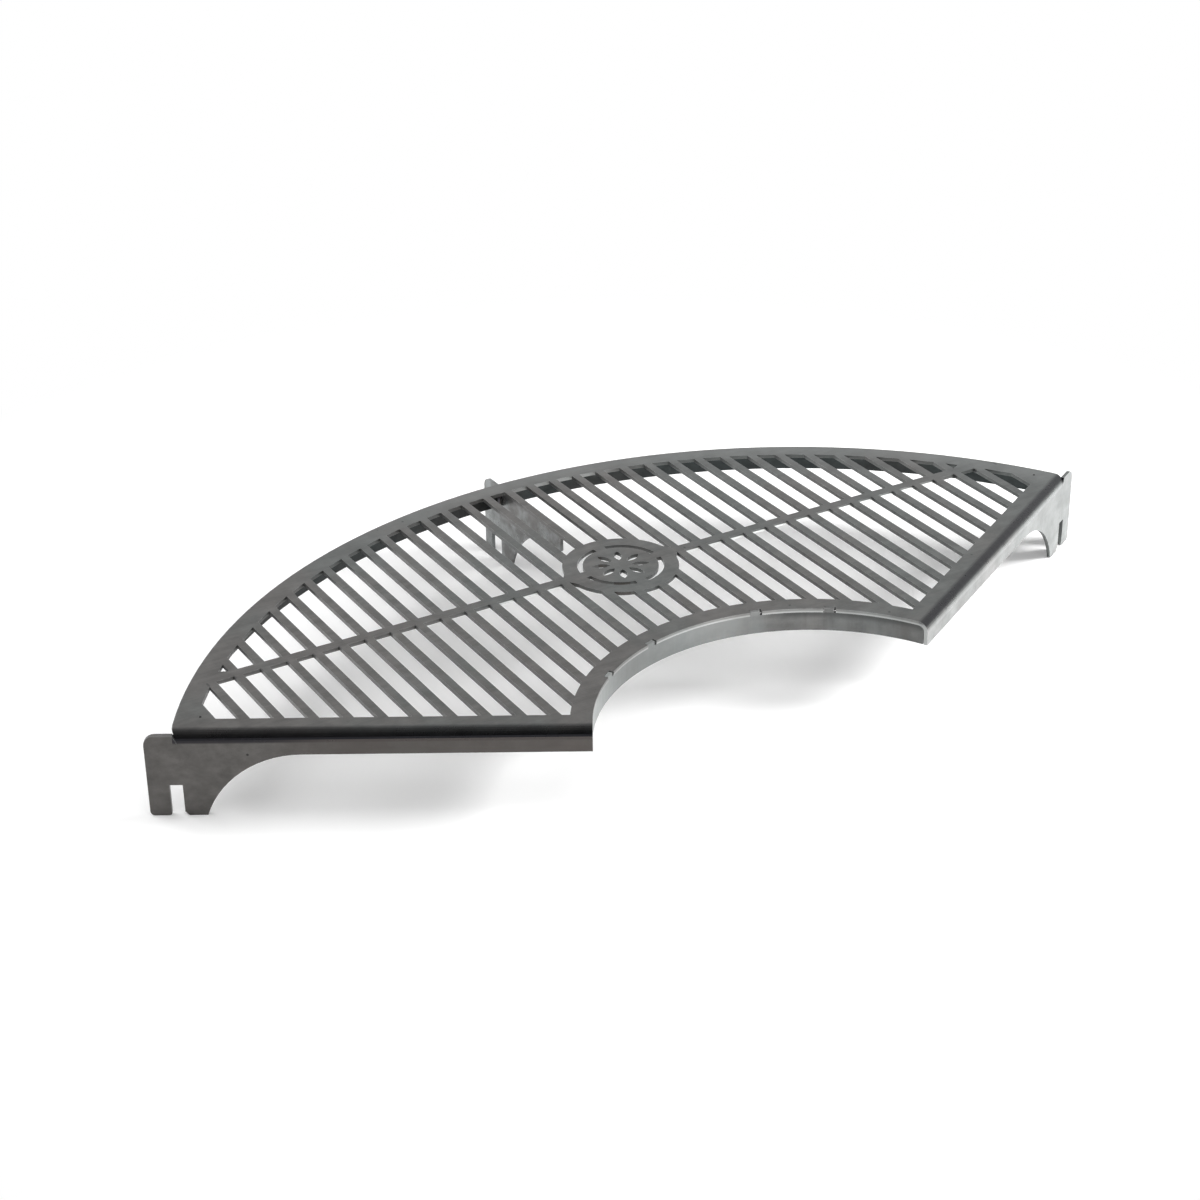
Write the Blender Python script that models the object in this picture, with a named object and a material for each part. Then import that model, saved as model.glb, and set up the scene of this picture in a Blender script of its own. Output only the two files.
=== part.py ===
"""Curved fire pit grill, cut and folded from steel sheet.

The grill is a 120 degree sector of a ring that hangs on the wall of a round steel
fire ring. One sheet makes the slotted cooking top and, folded down along its two
straight sides, the arms that end in notched hooks. A strip on edge stands under
the inner rim, another under the outer rim, and a plate under a middle bar carries
the third hook. Weld beads hold these four pieces together from beneath.

Drawing lengths are in millimetres. Plan positions are counted from the fire
ring's centre, with +Y on the grill's symmetry line, and heights are counted from
the cooking surface, so they are negative. The empty "ring_centre" puts that
drawing frame in place: the feet stand at Z = 0 and the origin is under the middle.
"""

import math

import bmesh
import bpy
from mathutils import Vector

MM = 0.001
GAP = 0.3                    # room left between touching pieces

# Sheet and overall plan
SHEET = 3.0
OUTER_RADIUS = 456.0
INNER_RADIUS = 161.5
HALF_ANGLE = 59.6            # from the symmetry line to each straight side
HEIGHT = 67.5                # cooking surface above the feet

# Slots: parallel to the symmetry line, in two rows with a spine between them
RIM = 16.0
SIDE_RIM = 7.7
SLOT_PITCH = 21.0
SLOT_WIDTH = 14.2
LOWER_ROW_LAST = 17
UPPER_ROW_LAST = 16
SPINE_Y = 276.0
SPINE_WIDTH = 9.0
CORNER_HOLE_DIAMETER = 2.2
CORNER_HOLE_LEFT = (437.8, 10.3)    # distance along the arm, and in from its side
CORNER_HOLE_RIGHT = (444.5, 11.4)

# Round medallion on the spine, with a plain pierced rosette
DISC_Y = 276.0
DISC_RADIUS = 45.8
RING_SLOT_INNER = 29.8
RING_SLOT_OUTER = 34.2
RING_SLOTS = 4
RING_BRIDGE = 9.0
PETALS = 8
PETAL_START = 8.0
PETAL_END = 23.0
PETAL_WIDTH = 6.4

# Folded arms; "along" runs out from the centre, "out" leaves the straight side
BEND_START = 3.7
BEND_INNER_RADIUS = 5.0
BEND_STEPS = 8
ARM_DEPTH = 18.5
ARCH_RADIUS = 72.7
ARCH_CENTRE_ALONG = 366.0
HOOK_NOTCH_START = 450.8
HOOK_NOTCH_WIDTH = 9.3
NOTCH_TOP = 42.5
HOOK_END = 475.6
HOOK_TOP_DROP = 2.0
HOOK_CORNER_RADIUS = 8.0
FOOT_OUTER_RADIUS = 3.5
FOOT_INNER_RADIUS = 2.0
FOOT_CHAMFER = 3.0
RELIEF_ALONG = 455.0         # where the thin relief cut opens beside the hook's top
RELIEF_DEPTH = 8.8
RELIEF_SLOPE = 0.38          # the cut leans towards the centre as it goes down

# Strips on edge under the rims
INNER_BAND_FACE = 162.0
OUTER_BAND_FACE = 452.0
BAND_END_OUT = BEND_START + BEND_INNER_RADIUS - 0.5
BAND_END_RADIUS = 4.6        # top corners, rounded to follow the inside of the folds
BAND_STEP_DEGREES = 2.5
TAB_ANGLES = (-36.4, -16.5, 16.5, 36.4)
TAB_WIDTH = 7.4
TAB_GAP_LEFT = 0.4
TAB_GAP_RIGHT = 1.7

# Middle bracket
BRACKET_X = -10.5
BRACKET_START = 351.0
BRACKET_ARCH_CENTRE = 367.6
BRACKET_NOTCH_START = 452.0
BRACKET_NOTCH_WIDTH = 17.0
BRACKET_END = 480.0
CROSSING_HEIGHT = 10.5       # depth at which the bracket and the outer strip lap

# Weld beads
BEAD_RADIUS = 1.6
BEAD_LENGTH = 26.0
BEAD_TAPER = 0.55
SMALL_BEAD_RADIUS = 0.8
SMALL_BEAD_LENGTH = 18.0
INNER_WELD_ANGLES = (-50.0, -26.5, 0.0, 26.5, 50.0)
OUTER_WELD_ANGLES = (-50.0, -34.0, -17.0, 8.0, 24.0, 37.0, 50.0)

NEUTRAL_RADIUS = BEND_INNER_RADIUS + SHEET / 2
BEND_OUTER_RADIUS = BEND_INNER_RADIUS + SHEET
BEND_END = BEND_START + NEUTRAL_RADIUS * math.pi / 2
FOOT_DEPTH = HEIGHT
BAND_TOP = SHEET + GAP
ALONG = (math.sin(math.radians(HALF_ANGLE)), math.cos(math.radians(HALF_ANGLE)))
OUT = (ALONG[1], -ALONG[0])


def arc(centre, radius, start, end, steps):
    """Points of a circular arc, angles in degrees from +X, both ends included."""
    points = []
    for step in range(steps + 1):
        angle = math.radians(start + (end - start) * step / steps)
        points.append((centre[0] + radius * math.cos(angle),
                       centre[1] + radius * math.sin(angle)))
    return points


def polar(radius, degrees):
    """Plan point at a radius, with the angle counted from +Y towards +X."""
    angle = math.radians(degrees)
    return (radius * math.sin(angle), radius * math.cos(angle))


def mirrored(points):
    """The same points on the other side of the symmetry line, in reverse order."""
    return [(-x, y) for x, y in reversed(points)]


def flat_from_depth(depth):
    """Distance from the straight side, in the flat sheet, of a depth in the folded arm."""
    return BEND_END + depth - BEND_OUTER_RADIUS


def hook_profile(arch_centre, notch_start, notch_width, end):
    """Arch, feet and notch shared by the three hooks, as (along, depth) points.

    The arch is a circle that leaves the strip's lower edge tangentially and ends
    at the foot. The list goes outwards and stops at the outer foot's corner.
    """
    centre_depth = ARM_DEPTH + ARCH_RADIUS
    sweep = math.degrees(math.acos((centre_depth - FOOT_DEPTH) / ARCH_RADIUS))
    arch = arc((arch_centre, centre_depth), ARCH_RADIUS, -90.0, sweep - 90.0, 14)
    notch_end = notch_start + notch_width
    foot = [(notch_start - FOOT_CHAMFER, FOOT_DEPTH),
            (notch_start, FOOT_DEPTH - FOOT_CHAMFER),
            (notch_start, NOTCH_TOP),
            (notch_end, NOTCH_TOP)]
    inner_corner = arc((notch_end + FOOT_INNER_RADIUS, FOOT_DEPTH - FOOT_INNER_RADIUS),
                       FOOT_INNER_RADIUS, 180.0, 90.0, 4)
    outer_corner = arc((end - FOOT_OUTER_RADIUS, FOOT_DEPTH - FOOT_OUTER_RADIUS),
                       FOOT_OUTER_RADIUS, 90.0, 0.0, 4)
    return arch + foot + inner_corner + outer_corner


def arm_outline():
    """Right arm's edge in the flat sheet, from the inner arc to the outer arc."""
    top_corner = arc((HOOK_END - HOOK_CORNER_RADIUS, HOOK_TOP_DROP + HOOK_CORNER_RADIUS),
                     HOOK_CORNER_RADIUS, 0.0, -90.0, 6)
    folded = [(INNER_RADIUS, ARM_DEPTH)]
    folded += hook_profile(ARCH_CENTRE_ALONG, HOOK_NOTCH_START, HOOK_NOTCH_WIDTH, HOOK_END)
    folded += top_corner
    folded += [(RELIEF_ALONG, HOOK_TOP_DROP), (RELIEF_ALONG - 2.6, RELIEF_DEPTH)]
    edge = [(along, flat_from_depth(depth)) for along, depth in folded]
    edge += [(RELIEF_ALONG - 2.8, BEND_END + 0.4), (RELIEF_ALONG + 0.6, BEND_START + 1.6)]
    return [(along * ALONG[0] + out * OUT[0], along * ALONG[1] + out * OUT[1])
            for along, out in edge]


def inner_edge():
    """Inner arc from left to right, with an open notch for each tab of the strip."""
    depth = INNER_BAND_FACE + SHEET + 0.5
    per_mm = math.degrees(1.0 / (INNER_BAND_FACE + SHEET / 2))
    corners = [-HALF_ANGLE]
    points = []
    for angle in TAB_ANGLES:
        left = angle - (TAB_WIDTH / 2 + TAB_GAP_LEFT) * per_mm
        right = angle + (TAB_WIDTH / 2 + TAB_GAP_RIGHT) * per_mm
        points += rim_arc(INNER_RADIUS, corners[-1], left)
        points += [polar(depth, left), polar(depth, right)]
        corners.append(right)
    points += rim_arc(INNER_RADIUS, corners[-1], HALF_ANGLE)
    return points


def rim_arc(radius, start, end):
    """Points of a rim between two angles from +Y, about one every 2 degrees."""
    steps = max(1, round(abs(end - start) / 2.0))
    return [polar(radius, start + (end - start) * step / steps) for step in range(steps + 1)]


def sheet_outline():
    """Whole edge of the flat sheet, counterclockwise seen from above."""
    arm = arm_outline()
    return inner_edge() + arm + rim_arc(OUTER_RADIUS, HALF_ANGLE, -HALF_ANGLE) + mirrored(arm)


def circle_height(radius, x):
    """Height of a circle about the ring's centre at x, or 0 beyond its edge."""
    return math.sqrt(max(0.0, radius * radius - x * x))


def disc_half_height(x):
    """Half height of the medallion at x, or 0 beside it."""
    return math.sqrt(max(0.0, DISC_RADIUS * DISC_RADIUS - x * x))


def field_bottom(x):
    """Lowest y of the slotted field at x: the inner rim or the straight side's rim."""
    side = (abs(x) * ALONG[1] + SIDE_RIM) / ALONG[0]
    return max(side, circle_height(INNER_RADIUS + RIM, x))


def field_top(x):
    """Highest y of the slotted field at x, along the outer rim."""
    return circle_height(OUTER_RADIUS - RIM, x)


def lower_row(x):
    """Slot limits below the spine and the medallion."""
    beside = SPINE_Y - SPINE_WIDTH / 2
    top = min(beside, DISC_Y - disc_half_height(x)) if abs(x) < DISC_RADIUS else beside
    return field_bottom(x), min(top, field_top(x))


def upper_row(x):
    """Slot limits above the spine and the medallion."""
    beside = SPINE_Y + SPINE_WIDTH / 2
    bottom = max(beside, DISC_Y + disc_half_height(x)) if abs(x) < DISC_RADIUS else beside
    return bottom, field_top(x)


def limit_kinks():
    """Positions across the sheet where a slot limit changes from one line to another."""
    field_corner = math.sqrt((INNER_RADIUS + RIM) ** 2 - SIDE_RIM ** 2)
    kinks = [field_corner * ALONG[0] - SIDE_RIM * OUT[0]]
    for edge in (SPINE_Y - SPINE_WIDTH / 2, SPINE_Y + SPINE_WIDTH / 2):
        kinks.append(math.sqrt(DISC_RADIUS ** 2 - (edge - DISC_Y) ** 2))
        kinks.append(math.sqrt((OUTER_RADIUS - RIM) ** 2 - edge ** 2))
    return kinks


def without_straight_points(points):
    """Drop repeated points and points that lie on the line between their neighbours."""
    kept = []
    for index, point in enumerate(points):
        before = Vector(points[index - 1])
        after = Vector(points[(index + 1) % len(points)])
        here = Vector(point)
        if (here - before).length < 0.01:
            continue
        chord = (after - before).normalized()
        if abs(chord.cross(here - before)) > 0.005:
            kept.append(point)
    return kept


def slot(column, limits):
    """Outline of one slot: straight sides, ends cut along the row's limits."""
    left = column * SLOT_PITCH - SLOT_WIDTH / 2
    right = left + SLOT_WIDTH
    stations = [left + SLOT_WIDTH * step / 6 for step in range(7)]
    for kink in limit_kinks():
        stations += [x for x in (-kink, kink) if left < x < right]
    stations = sorted(x for x in stations if limits(x)[1] - limits(x)[0] > -0.001)
    if len(stations) < 2:
        return []
    lower = [(x, limits(x)[0]) for x in stations]
    upper = [(x, limits(x)[1]) for x in reversed(stations)]
    return without_straight_points(lower + upper)


def slot_outlines():
    """All slots of both rows; the outermost upper ones are cut down to slivers."""
    lower = [slot(column, lower_row) for column in range(-LOWER_ROW_LAST, LOWER_ROW_LAST + 1)]
    upper = [slot(column, upper_row) for column in range(-UPPER_ROW_LAST, UPPER_ROW_LAST + 1)]
    return [outline for outline in lower + upper if outline]


def ring_slot(index):
    """One arc slot of the medallion's ring, with bridges of equal width beside it."""
    centre = (0.0, DISC_Y)
    middle_radius = (RING_SLOT_INNER + RING_SLOT_OUTER) / 2
    bridge = math.degrees(RING_BRIDGE / middle_radius)
    start = index * 360.0 / RING_SLOTS + bridge / 2
    end = start + 360.0 / RING_SLOTS - bridge
    outer = arc(centre, RING_SLOT_OUTER, start, end, 9)
    return outer + arc(centre, RING_SLOT_INNER, end, start, 9)


def petal(index):
    """One petal of the rosette: two arcs that meet in points at its ends."""
    length = PETAL_END - PETAL_START
    swell = PETAL_WIDTH / 2
    radius = (length * length / 4 + swell * swell) / (2 * swell)
    sweep = math.degrees(math.asin(length / 2 / radius))
    middle = (PETAL_START + PETAL_END) / 2
    right = arc((middle, swell - radius), radius, 90.0 - sweep, 90.0 + sweep, 5)
    left = arc((middle, radius - swell), radius, 270.0 - sweep, 270.0 + sweep, 5)
    turn = math.radians(index * 360.0 / PETALS + 180.0 / PETALS)
    cos_turn, sin_turn = math.cos(turn), math.sin(turn)
    return [(x * cos_turn - y * sin_turn, DISC_Y + x * sin_turn + y * cos_turn)
            for x, y in right[:-1] + left[:-1]]


def corner_hole(side, place):
    """Small round hole near an outer corner; side is 1 on the right and -1 on the left."""
    along, inset = place
    x = along * ALONG[0] - inset * OUT[0]
    y = along * ALONG[1] - inset * OUT[1]
    return arc((side * x, y), CORNER_HOLE_DIAMETER / 2, 0.0, 330.0, 11)


def sheet_holes():
    """Every hole of the flat sheet."""
    rosette = [ring_slot(index) for index in range(RING_SLOTS)]
    rosette += [petal(index) for index in range(PETALS)]
    corners = [corner_hole(1.0, CORNER_HOLE_RIGHT), corner_hole(-1.0, CORNER_HOLE_LEFT)]
    return slot_outlines() + rosette + corners


def blank_mesh(name, outlines, thickness):
    """Flat plate with holes, from closed outlines in millimetres, as a welded mesh."""
    curve = bpy.data.curves.new(name + "_outline", "CURVE")
    curve.dimensions = "2D"
    curve.fill_mode = "BOTH"
    curve.extrude = thickness / 2
    for outline in outlines:
        spline = curve.splines.new("POLY")
        spline.points.add(len(outline) - 1)
        for point, (x, y) in zip(spline.points, outline):
            point.co = (x, y, 0.0, 1.0)
        spline.use_cyclic_u = True
    return evaluated_mesh(name, curve)


def evaluated_mesh(name, curve):
    """Mesh of a curve, which is then removed."""
    drawing = bpy.data.objects.new(curve.name, curve)
    bpy.context.scene.collection.objects.link(drawing)
    evaluated = drawing.evaluated_get(bpy.context.evaluated_depsgraph_get())
    mesh = bpy.data.meshes.new_from_object(evaluated)
    mesh.name = name
    bpy.data.objects.remove(drawing)
    return mesh


def reshaped(mesh, cuts, move):
    """Split the plate along straight lines, then move each vertex by a formula.

    Each cut is a (point, normal) pair. The plate's own frame is in millimetres,
    and the result is in metres.
    """
    work = bmesh.new()
    work.from_mesh(mesh)
    bmesh.ops.remove_doubles(work, verts=work.verts, dist=0.02)
    for point, normal in cuts:
        geometry = work.verts[:] + work.edges[:] + work.faces[:]
        bmesh.ops.bisect_plane(work, geom=geometry, plane_co=point, plane_no=normal,
                               dist=0.001)
    for vertex in work.verts:
        vertex.co = Vector(move(*vertex.co)) * MM
    bmesh.ops.triangulate(work, faces=work.faces[:])
    bmesh.ops.recalc_face_normals(work, faces=work.faces[:])
    work.to_mesh(mesh)
    work.free()
    mesh.set_sharp_from_angle(angle=math.radians(30.0))


def folded_arm(along, out, level):
    """Fold of the sheet: (along, out) in the flat to (along, out, height) in the arm.

    level is the distance from the sheet's middle, so each face keeps its own
    radius round the bend. The hook's top lies beyond the bend's end, past the
    relief cut, and stays in the arm's plane.
    """
    radius = NEUTRAL_RADIUS + level
    hook_top = flat_from_depth(HOOK_TOP_DROP)
    relief = RELIEF_ALONG - 0.19 - (out - hook_top) * RELIEF_SLOPE
    in_hook = along > relief and out > hook_top - 1.3
    if out <= BEND_START:
        return along, out, level - SHEET / 2
    if out >= BEND_END or in_hook:
        return along, BEND_START + radius, -BEND_OUTER_RADIUS - (out - BEND_END)
    angle = (out - BEND_START) / NEUTRAL_RADIUS
    return (along, BEND_START + radius * math.sin(angle),
            radius * math.cos(angle) - BEND_OUTER_RADIUS)


def folded_sheet(x, y, level):
    """Fold both arms of the flat sheet down."""
    side = -1.0 if x < 0.0 else 1.0
    along = abs(x) * ALONG[0] + y * ALONG[1]
    out = abs(x) * OUT[0] + y * OUT[1]
    along, out, height = folded_arm(along, out, level)
    return side * (along * ALONG[0] + out * OUT[0]), along * ALONG[1] + out * OUT[1], height


def fold_lines():
    """Cuts across the flat arms at equal steps round the bend."""
    cuts = []
    for side in (-1.0, 1.0):
        normal = (side * OUT[0], OUT[1], 0.0)
        for step in range(BEND_STEPS + 1):
            distance = BEND_START + (BEND_END - BEND_START) * step / BEND_STEPS
            cuts.append((Vector(normal) * distance, normal))
    return cuts


def rolled(face_radius):
    """Roll of a flat strip: (arc length, height, level) onto its radius about the centre."""
    middle = face_radius + SHEET / 2

    def move(arc_length, height, level):
        angle = arc_length / middle
        radius = middle + level
        return radius * math.sin(angle), radius * math.cos(angle), height
    return move


def roll_lines(face_radius, half_length):
    """Cuts across a flat strip, one every few degrees of its roll."""
    step = math.radians(BAND_STEP_DEGREES) * (face_radius + SHEET / 2)
    count = int(half_length / step)
    return [((index * step, 0.0, 0.0), (1.0, 0.0, 0.0)) for index in range(-count, count + 1)]


def band_half_length(face_radius):
    """Developed half length of a strip that ends just inside the folded arms."""
    middle = face_radius + SHEET / 2
    return middle * (math.radians(HALF_ANGLE) + math.asin(BAND_END_OUT / middle))


def upstand(centre, width, low, high):
    """Four points of a step in a strip's top edge, from right to left."""
    right, left = centre + width / 2, centre - width / 2
    return [(right, low), (right, high), (left, high), (left, low)]


def band_corner(half):
    """Rounded top corner at the right end of a strip."""
    centre = (half - BAND_END_RADIUS, -BAND_TOP - BAND_END_RADIUS)
    return arc(centre, BAND_END_RADIUS, 0.0, 90.0, 5)


def inner_band_outline():
    """Flat inner strip, with a tab for each notch of the sheet."""
    half = band_half_length(INNER_BAND_FACE)
    middle = INNER_BAND_FACE + SHEET / 2
    outline = [(-half, -ARM_DEPTH), (half, -ARM_DEPTH)] + band_corner(half)
    for angle in reversed(TAB_ANGLES):
        outline += upstand(math.radians(angle) * middle, TAB_WIDTH, -BAND_TOP, 0.0)
    return outline + mirrored(band_corner(half))


def outer_band_outline():
    """Flat outer strip, notched from below where the bracket crosses it."""
    half = band_half_length(OUTER_BAND_FACE)
    middle = OUTER_BAND_FACE + SHEET / 2
    crossing = middle * math.asin(BRACKET_X / middle)
    notch = upstand(crossing, SHEET + 2 * GAP, -ARM_DEPTH, GAP - CROSSING_HEIGHT)
    corner = band_corner(half)
    return [(-half, -ARM_DEPTH)] + notch[::-1] + [(half, -ARM_DEPTH)] + corner + mirrored(corner)


def bracket_outline():
    """Bracket as (distance from the ring's centre, height), lapped with the outer strip."""
    profile = hook_profile(BRACKET_ARCH_CENTRE, BRACKET_NOTCH_START, BRACKET_NOTCH_WIDTH,
                           BRACKET_END)
    rim = circle_height(OUTER_RADIUS, BRACKET_X) + 2 * GAP
    lap_start = circle_height(OUTER_BAND_FACE, BRACKET_X - SHEET / 2) - 1.5 * GAP
    lap_end = circle_height(OUTER_BAND_FACE + SHEET, BRACKET_X + SHEET / 2) + 1.5 * GAP
    lap = -GAP - CROSSING_HEIGHT
    outline = arc((BRACKET_START + 2.0, 2.0 - ARM_DEPTH), 2.0, 180.0, 270.0, 4)
    outline += [(along, -depth) for along, depth in profile]
    outline += arc((BRACKET_END - HOOK_CORNER_RADIUS, -HOOK_TOP_DROP - HOOK_CORNER_RADIUS),
                   HOOK_CORNER_RADIUS, 0.0, 90.0, 6)
    outline += [(rim, -HOOK_TOP_DROP), (rim, -BAND_TOP), (lap_end, -BAND_TOP), (lap_end, lap),
                (lap_start, lap), (lap_start, -BAND_TOP), (BRACKET_START, -BAND_TOP)]
    return without_straight_points(outline)


def stood_up(along, height, level):
    """Bracket plate turned upright in its own plane beside the symmetry line."""
    return BRACKET_X + level, along, height


def steel(name, colour, roughness):
    """Bare steel sheet; the colour is its own grey."""
    material = bpy.data.materials.new(name)
    material.use_nodes = True
    shader = material.node_tree.nodes["Principled BSDF"]
    shader.inputs["Base Color"].default_value = (*colour, 1.0)
    shader.inputs["Metallic"].default_value = 0.7
    shader.inputs["Roughness"].default_value = roughness
    material.diffuse_color = (*colour, 1.0)
    return material


def add_part(name, mesh, material):
    """Object for one piece, in the grill's collection and under the ring's centre."""
    part = bpy.data.objects.new(name, mesh)
    mesh.materials.append(material)
    grill.objects.link(part)
    part.parent = ring_centre
    return part


def make_grill_top():
    """Slotted top with both hooked arms, one folded sheet."""
    mesh = blank_mesh("grill_top", [sheet_outline()] + sheet_holes(), SHEET)
    reshaped(mesh, fold_lines(), folded_sheet)
    add_part("grill_top", mesh, steel("mill_scale_steel", (0.15, 0.16, 0.16), 0.5))


def make_band(name, outline, face_radius, material):
    """Strip on edge, cut flat and rolled."""
    mesh = blank_mesh(name, [outline], SHEET)
    cuts = roll_lines(face_radius, band_half_length(face_radius))
    reshaped(mesh, cuts, rolled(face_radius))
    add_part(name, mesh, material)


def make_centre_bracket():
    """Plate with the third hook, under the bar left of the symmetry line."""
    mesh = blank_mesh("centre_bracket", [bracket_outline()], SHEET)
    reshaped(mesh, [], stood_up)
    add_part("centre_bracket", mesh, steel("bracket_steel", (0.2, 0.21, 0.21), 0.4))


def add_bead(name, points, radius, material):
    """Weld bead: a short round tube along its points that tapers at both ends."""
    curve = bpy.data.curves.new(name + "_route", "CURVE")
    curve.dimensions = "3D"
    curve.bevel_depth = radius
    curve.bevel_resolution = 2
    curve.use_fill_caps = True
    spline = curve.splines.new("POLY")
    spline.points.add(len(points) - 1)
    for index, (point, place) in enumerate(zip(spline.points, points)):
        point.co = (*place, 1.0)
        point.radius = BEAD_TAPER if index in (0, len(points) - 1) else 1.0
    mesh = evaluated_mesh(name, curve)
    reshaped(mesh, [], in_place)
    mesh.shade_smooth()
    add_part(name, mesh, material)


def in_place(x, y, z):
    """No bend: the bead is drawn where it lies."""
    return x, y, z


def rim_bead(radius, degrees):
    """Points of a bead under the sheet, along a strip, centred at an angle from +Y."""
    half = math.degrees(BEAD_LENGTH / 2 / radius)
    depth = SHEET + GAP + BEAD_RADIUS
    shares = (-1.0, -0.85, -0.4, 0.0, 0.4, 0.85, 1.0)
    return [(*polar(radius, degrees + half * share), -depth) for share in shares]


def straight_bead(start, end, radius):
    """Points of a bead along a straight line, with short tapers at its ends."""
    start, end = Vector(start), Vector(end)
    taper = radius / (end - start).length
    return [tuple(start.lerp(end, share)) for share in (0.0, taper, 1.0 - taper, 1.0)]


def make_rim_welds():
    """Beads behind the inner strip, between its tabs, and inside the outer strip."""
    metal = steel("rim_weld_metal", (0.12, 0.12, 0.13), 0.45)
    inner = INNER_BAND_FACE + SHEET + GAP + BEAD_RADIUS
    for index, angle in enumerate(INNER_WELD_ANGLES):
        add_bead(f"inner_weld_{index + 1}", rim_bead(inner, angle), BEAD_RADIUS, metal)
    outer = OUTER_BAND_FACE - GAP - BEAD_RADIUS
    for index, angle in enumerate(OUTER_WELD_ANGLES):
        add_bead(f"outer_weld_{index + 1}", rim_bead(outer, angle), BEAD_RADIUS, metal)


def make_bracket_welds():
    """Upright beads where the bracket meets the outer strip, and small ones under the bar."""
    metal = steel("bracket_weld_metal", (0.12, 0.12, 0.13), 0.45)
    inside = OUTER_BAND_FACE - GAP - BEAD_RADIUS
    for name, side in (("left", -1.0), ("right", 1.0)):
        x = BRACKET_X + side * (SHEET / 2 + GAP + BEAD_RADIUS)
        y = circle_height(inside, x)
        route = straight_bead((x, y, -16.5), (x, y, -7.5), BEAD_RADIUS)
        add_bead(f"bracket_weld_{name}", route, BEAD_RADIUS, metal)
    x = BRACKET_X + SHEET / 2 + GAP + SMALL_BEAD_RADIUS
    z = -SHEET - GAP - SMALL_BEAD_RADIUS
    for name, start in (("front", 354.0), ("middle", 400.0)):
        route = straight_bead((x, start, z), (x, start + SMALL_BEAD_LENGTH, z), SMALL_BEAD_RADIUS)
        add_bead(f"bracket_weld_{name}", route, SMALL_BEAD_RADIUS, metal)


def front_and_back():
    """Nearest and farthest plan distance of the whole grill from the ring's centre."""
    arm_out = BEND_START + BEND_OUTER_RADIUS
    front = INNER_RADIUS * ALONG[1] + arm_out * OUT[1]
    return front, BRACKET_END


for old in list(bpy.data.objects):
    bpy.data.objects.remove(old)

grill = bpy.data.collections.new("curved_fire_pit_grill")
bpy.context.scene.collection.children.link(grill)
ring_centre = bpy.data.objects.new("ring_centre", None)
ring_centre.location = (0.0, -sum(front_and_back()) / 2 * MM, HEIGHT * MM)
grill.objects.link(ring_centre)

make_grill_top()
make_band("inner_band", inner_band_outline(), INNER_BAND_FACE,
          steel("inner_strip_steel", (0.22, 0.22, 0.23), 0.45))
make_band("outer_band", outer_band_outline(), OUTER_BAND_FACE,
          steel("outer_strip_steel", (0.16, 0.16, 0.17), 0.5))
make_centre_bracket()
make_rim_welds()
make_bracket_welds()
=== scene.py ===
"""Curved fire pit grill of bare steel, standing on the feet of its three hooks.

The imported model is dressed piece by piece, in the order in which the real grill is
put together: the slotted top with its folded arms, the two strips, the middle
bracket and the weld beads. The floor, the studio and the camera come last.
"""

import math

import bpy
import numpy as np
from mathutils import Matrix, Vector


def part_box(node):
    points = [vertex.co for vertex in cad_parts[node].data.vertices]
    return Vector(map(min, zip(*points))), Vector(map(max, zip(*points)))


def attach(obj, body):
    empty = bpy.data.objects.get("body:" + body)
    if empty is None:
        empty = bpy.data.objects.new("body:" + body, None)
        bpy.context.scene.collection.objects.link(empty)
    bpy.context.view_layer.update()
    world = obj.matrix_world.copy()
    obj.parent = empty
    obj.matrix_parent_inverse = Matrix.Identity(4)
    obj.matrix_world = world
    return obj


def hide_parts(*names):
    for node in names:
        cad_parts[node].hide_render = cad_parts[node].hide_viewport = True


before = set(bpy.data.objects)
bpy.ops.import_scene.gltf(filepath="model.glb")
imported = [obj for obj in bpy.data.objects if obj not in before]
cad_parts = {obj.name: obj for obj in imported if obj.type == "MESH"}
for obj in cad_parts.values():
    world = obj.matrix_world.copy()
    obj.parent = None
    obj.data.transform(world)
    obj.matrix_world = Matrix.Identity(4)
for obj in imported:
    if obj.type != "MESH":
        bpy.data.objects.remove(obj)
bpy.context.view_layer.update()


# Slotted top: one 3 mm sheet of hot-rolled steel, laser cut, with both arms folded down.
# It keeps its dark rolling skin, worn through along the edges, and some cut walls show bare
# metal.
# Painted shade blackens the folds and darkens the left arm, and painted highlights brighten the
# cut walls and the top of the outer rim.
TOP_HEIGHT = 0.0675
SHEET = 0.003
RING_CENTRE_Y = -0.275817
INNER_WALLS_WITHIN = 0.164
OUTER_WALLS_BEYOND = 0.42
ARM_HALF_ANGLE = math.radians(59.6)
FOLD_START = 0.0037
FOLD_RADIUS = 0.008
RELIEF_ALONG = 0.455
SLOT_PITCH = 0.021
SLOT_HALF_WIDTH = 0.0071
SPINE_NEAR_EDGE = -0.00432
SPINE_WALL_BAND = 0.0005
DISC_RADIUS = 0.0458
OVAL_WIDTH = 0.0010
OVAL_LENGTH = 0.0030
OVAL_FROM_SPINE = 0.0016
EDGE_WIDTH = 0.0006
PIT_DEPTH = 0.00002
WAVE_DEPTH = 0.00015

# Its colours, from dark to bright, and the roughness and the grain of its skin.
SCALE_SPECK = (0.012, 0.013, 0.013)
FOLD_PAINTED_SHADE = (0.016, 0.016, 0.020)
OVAL_BLACK = (0.02, 0.02, 0.02)
ARM_SHADED_BROWN = (0.080, 0.070, 0.065)
TOP_COOL = (0.094, 0.102, 0.099)
TOP_WARM = (0.102, 0.098, 0.094)
RIM_HIGHLIGHT = (0.185, 0.195, 0.192)
BARE_EDGE = (0.42, 0.43, 0.43)
CUT_BARE_AND_HIGHLIGHT = (0.88, 0.90, 0.89)
TOP_ROUGHNESS = 0.42
TOP_GRAIN = (0.35, 9.0, 9.0)

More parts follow.
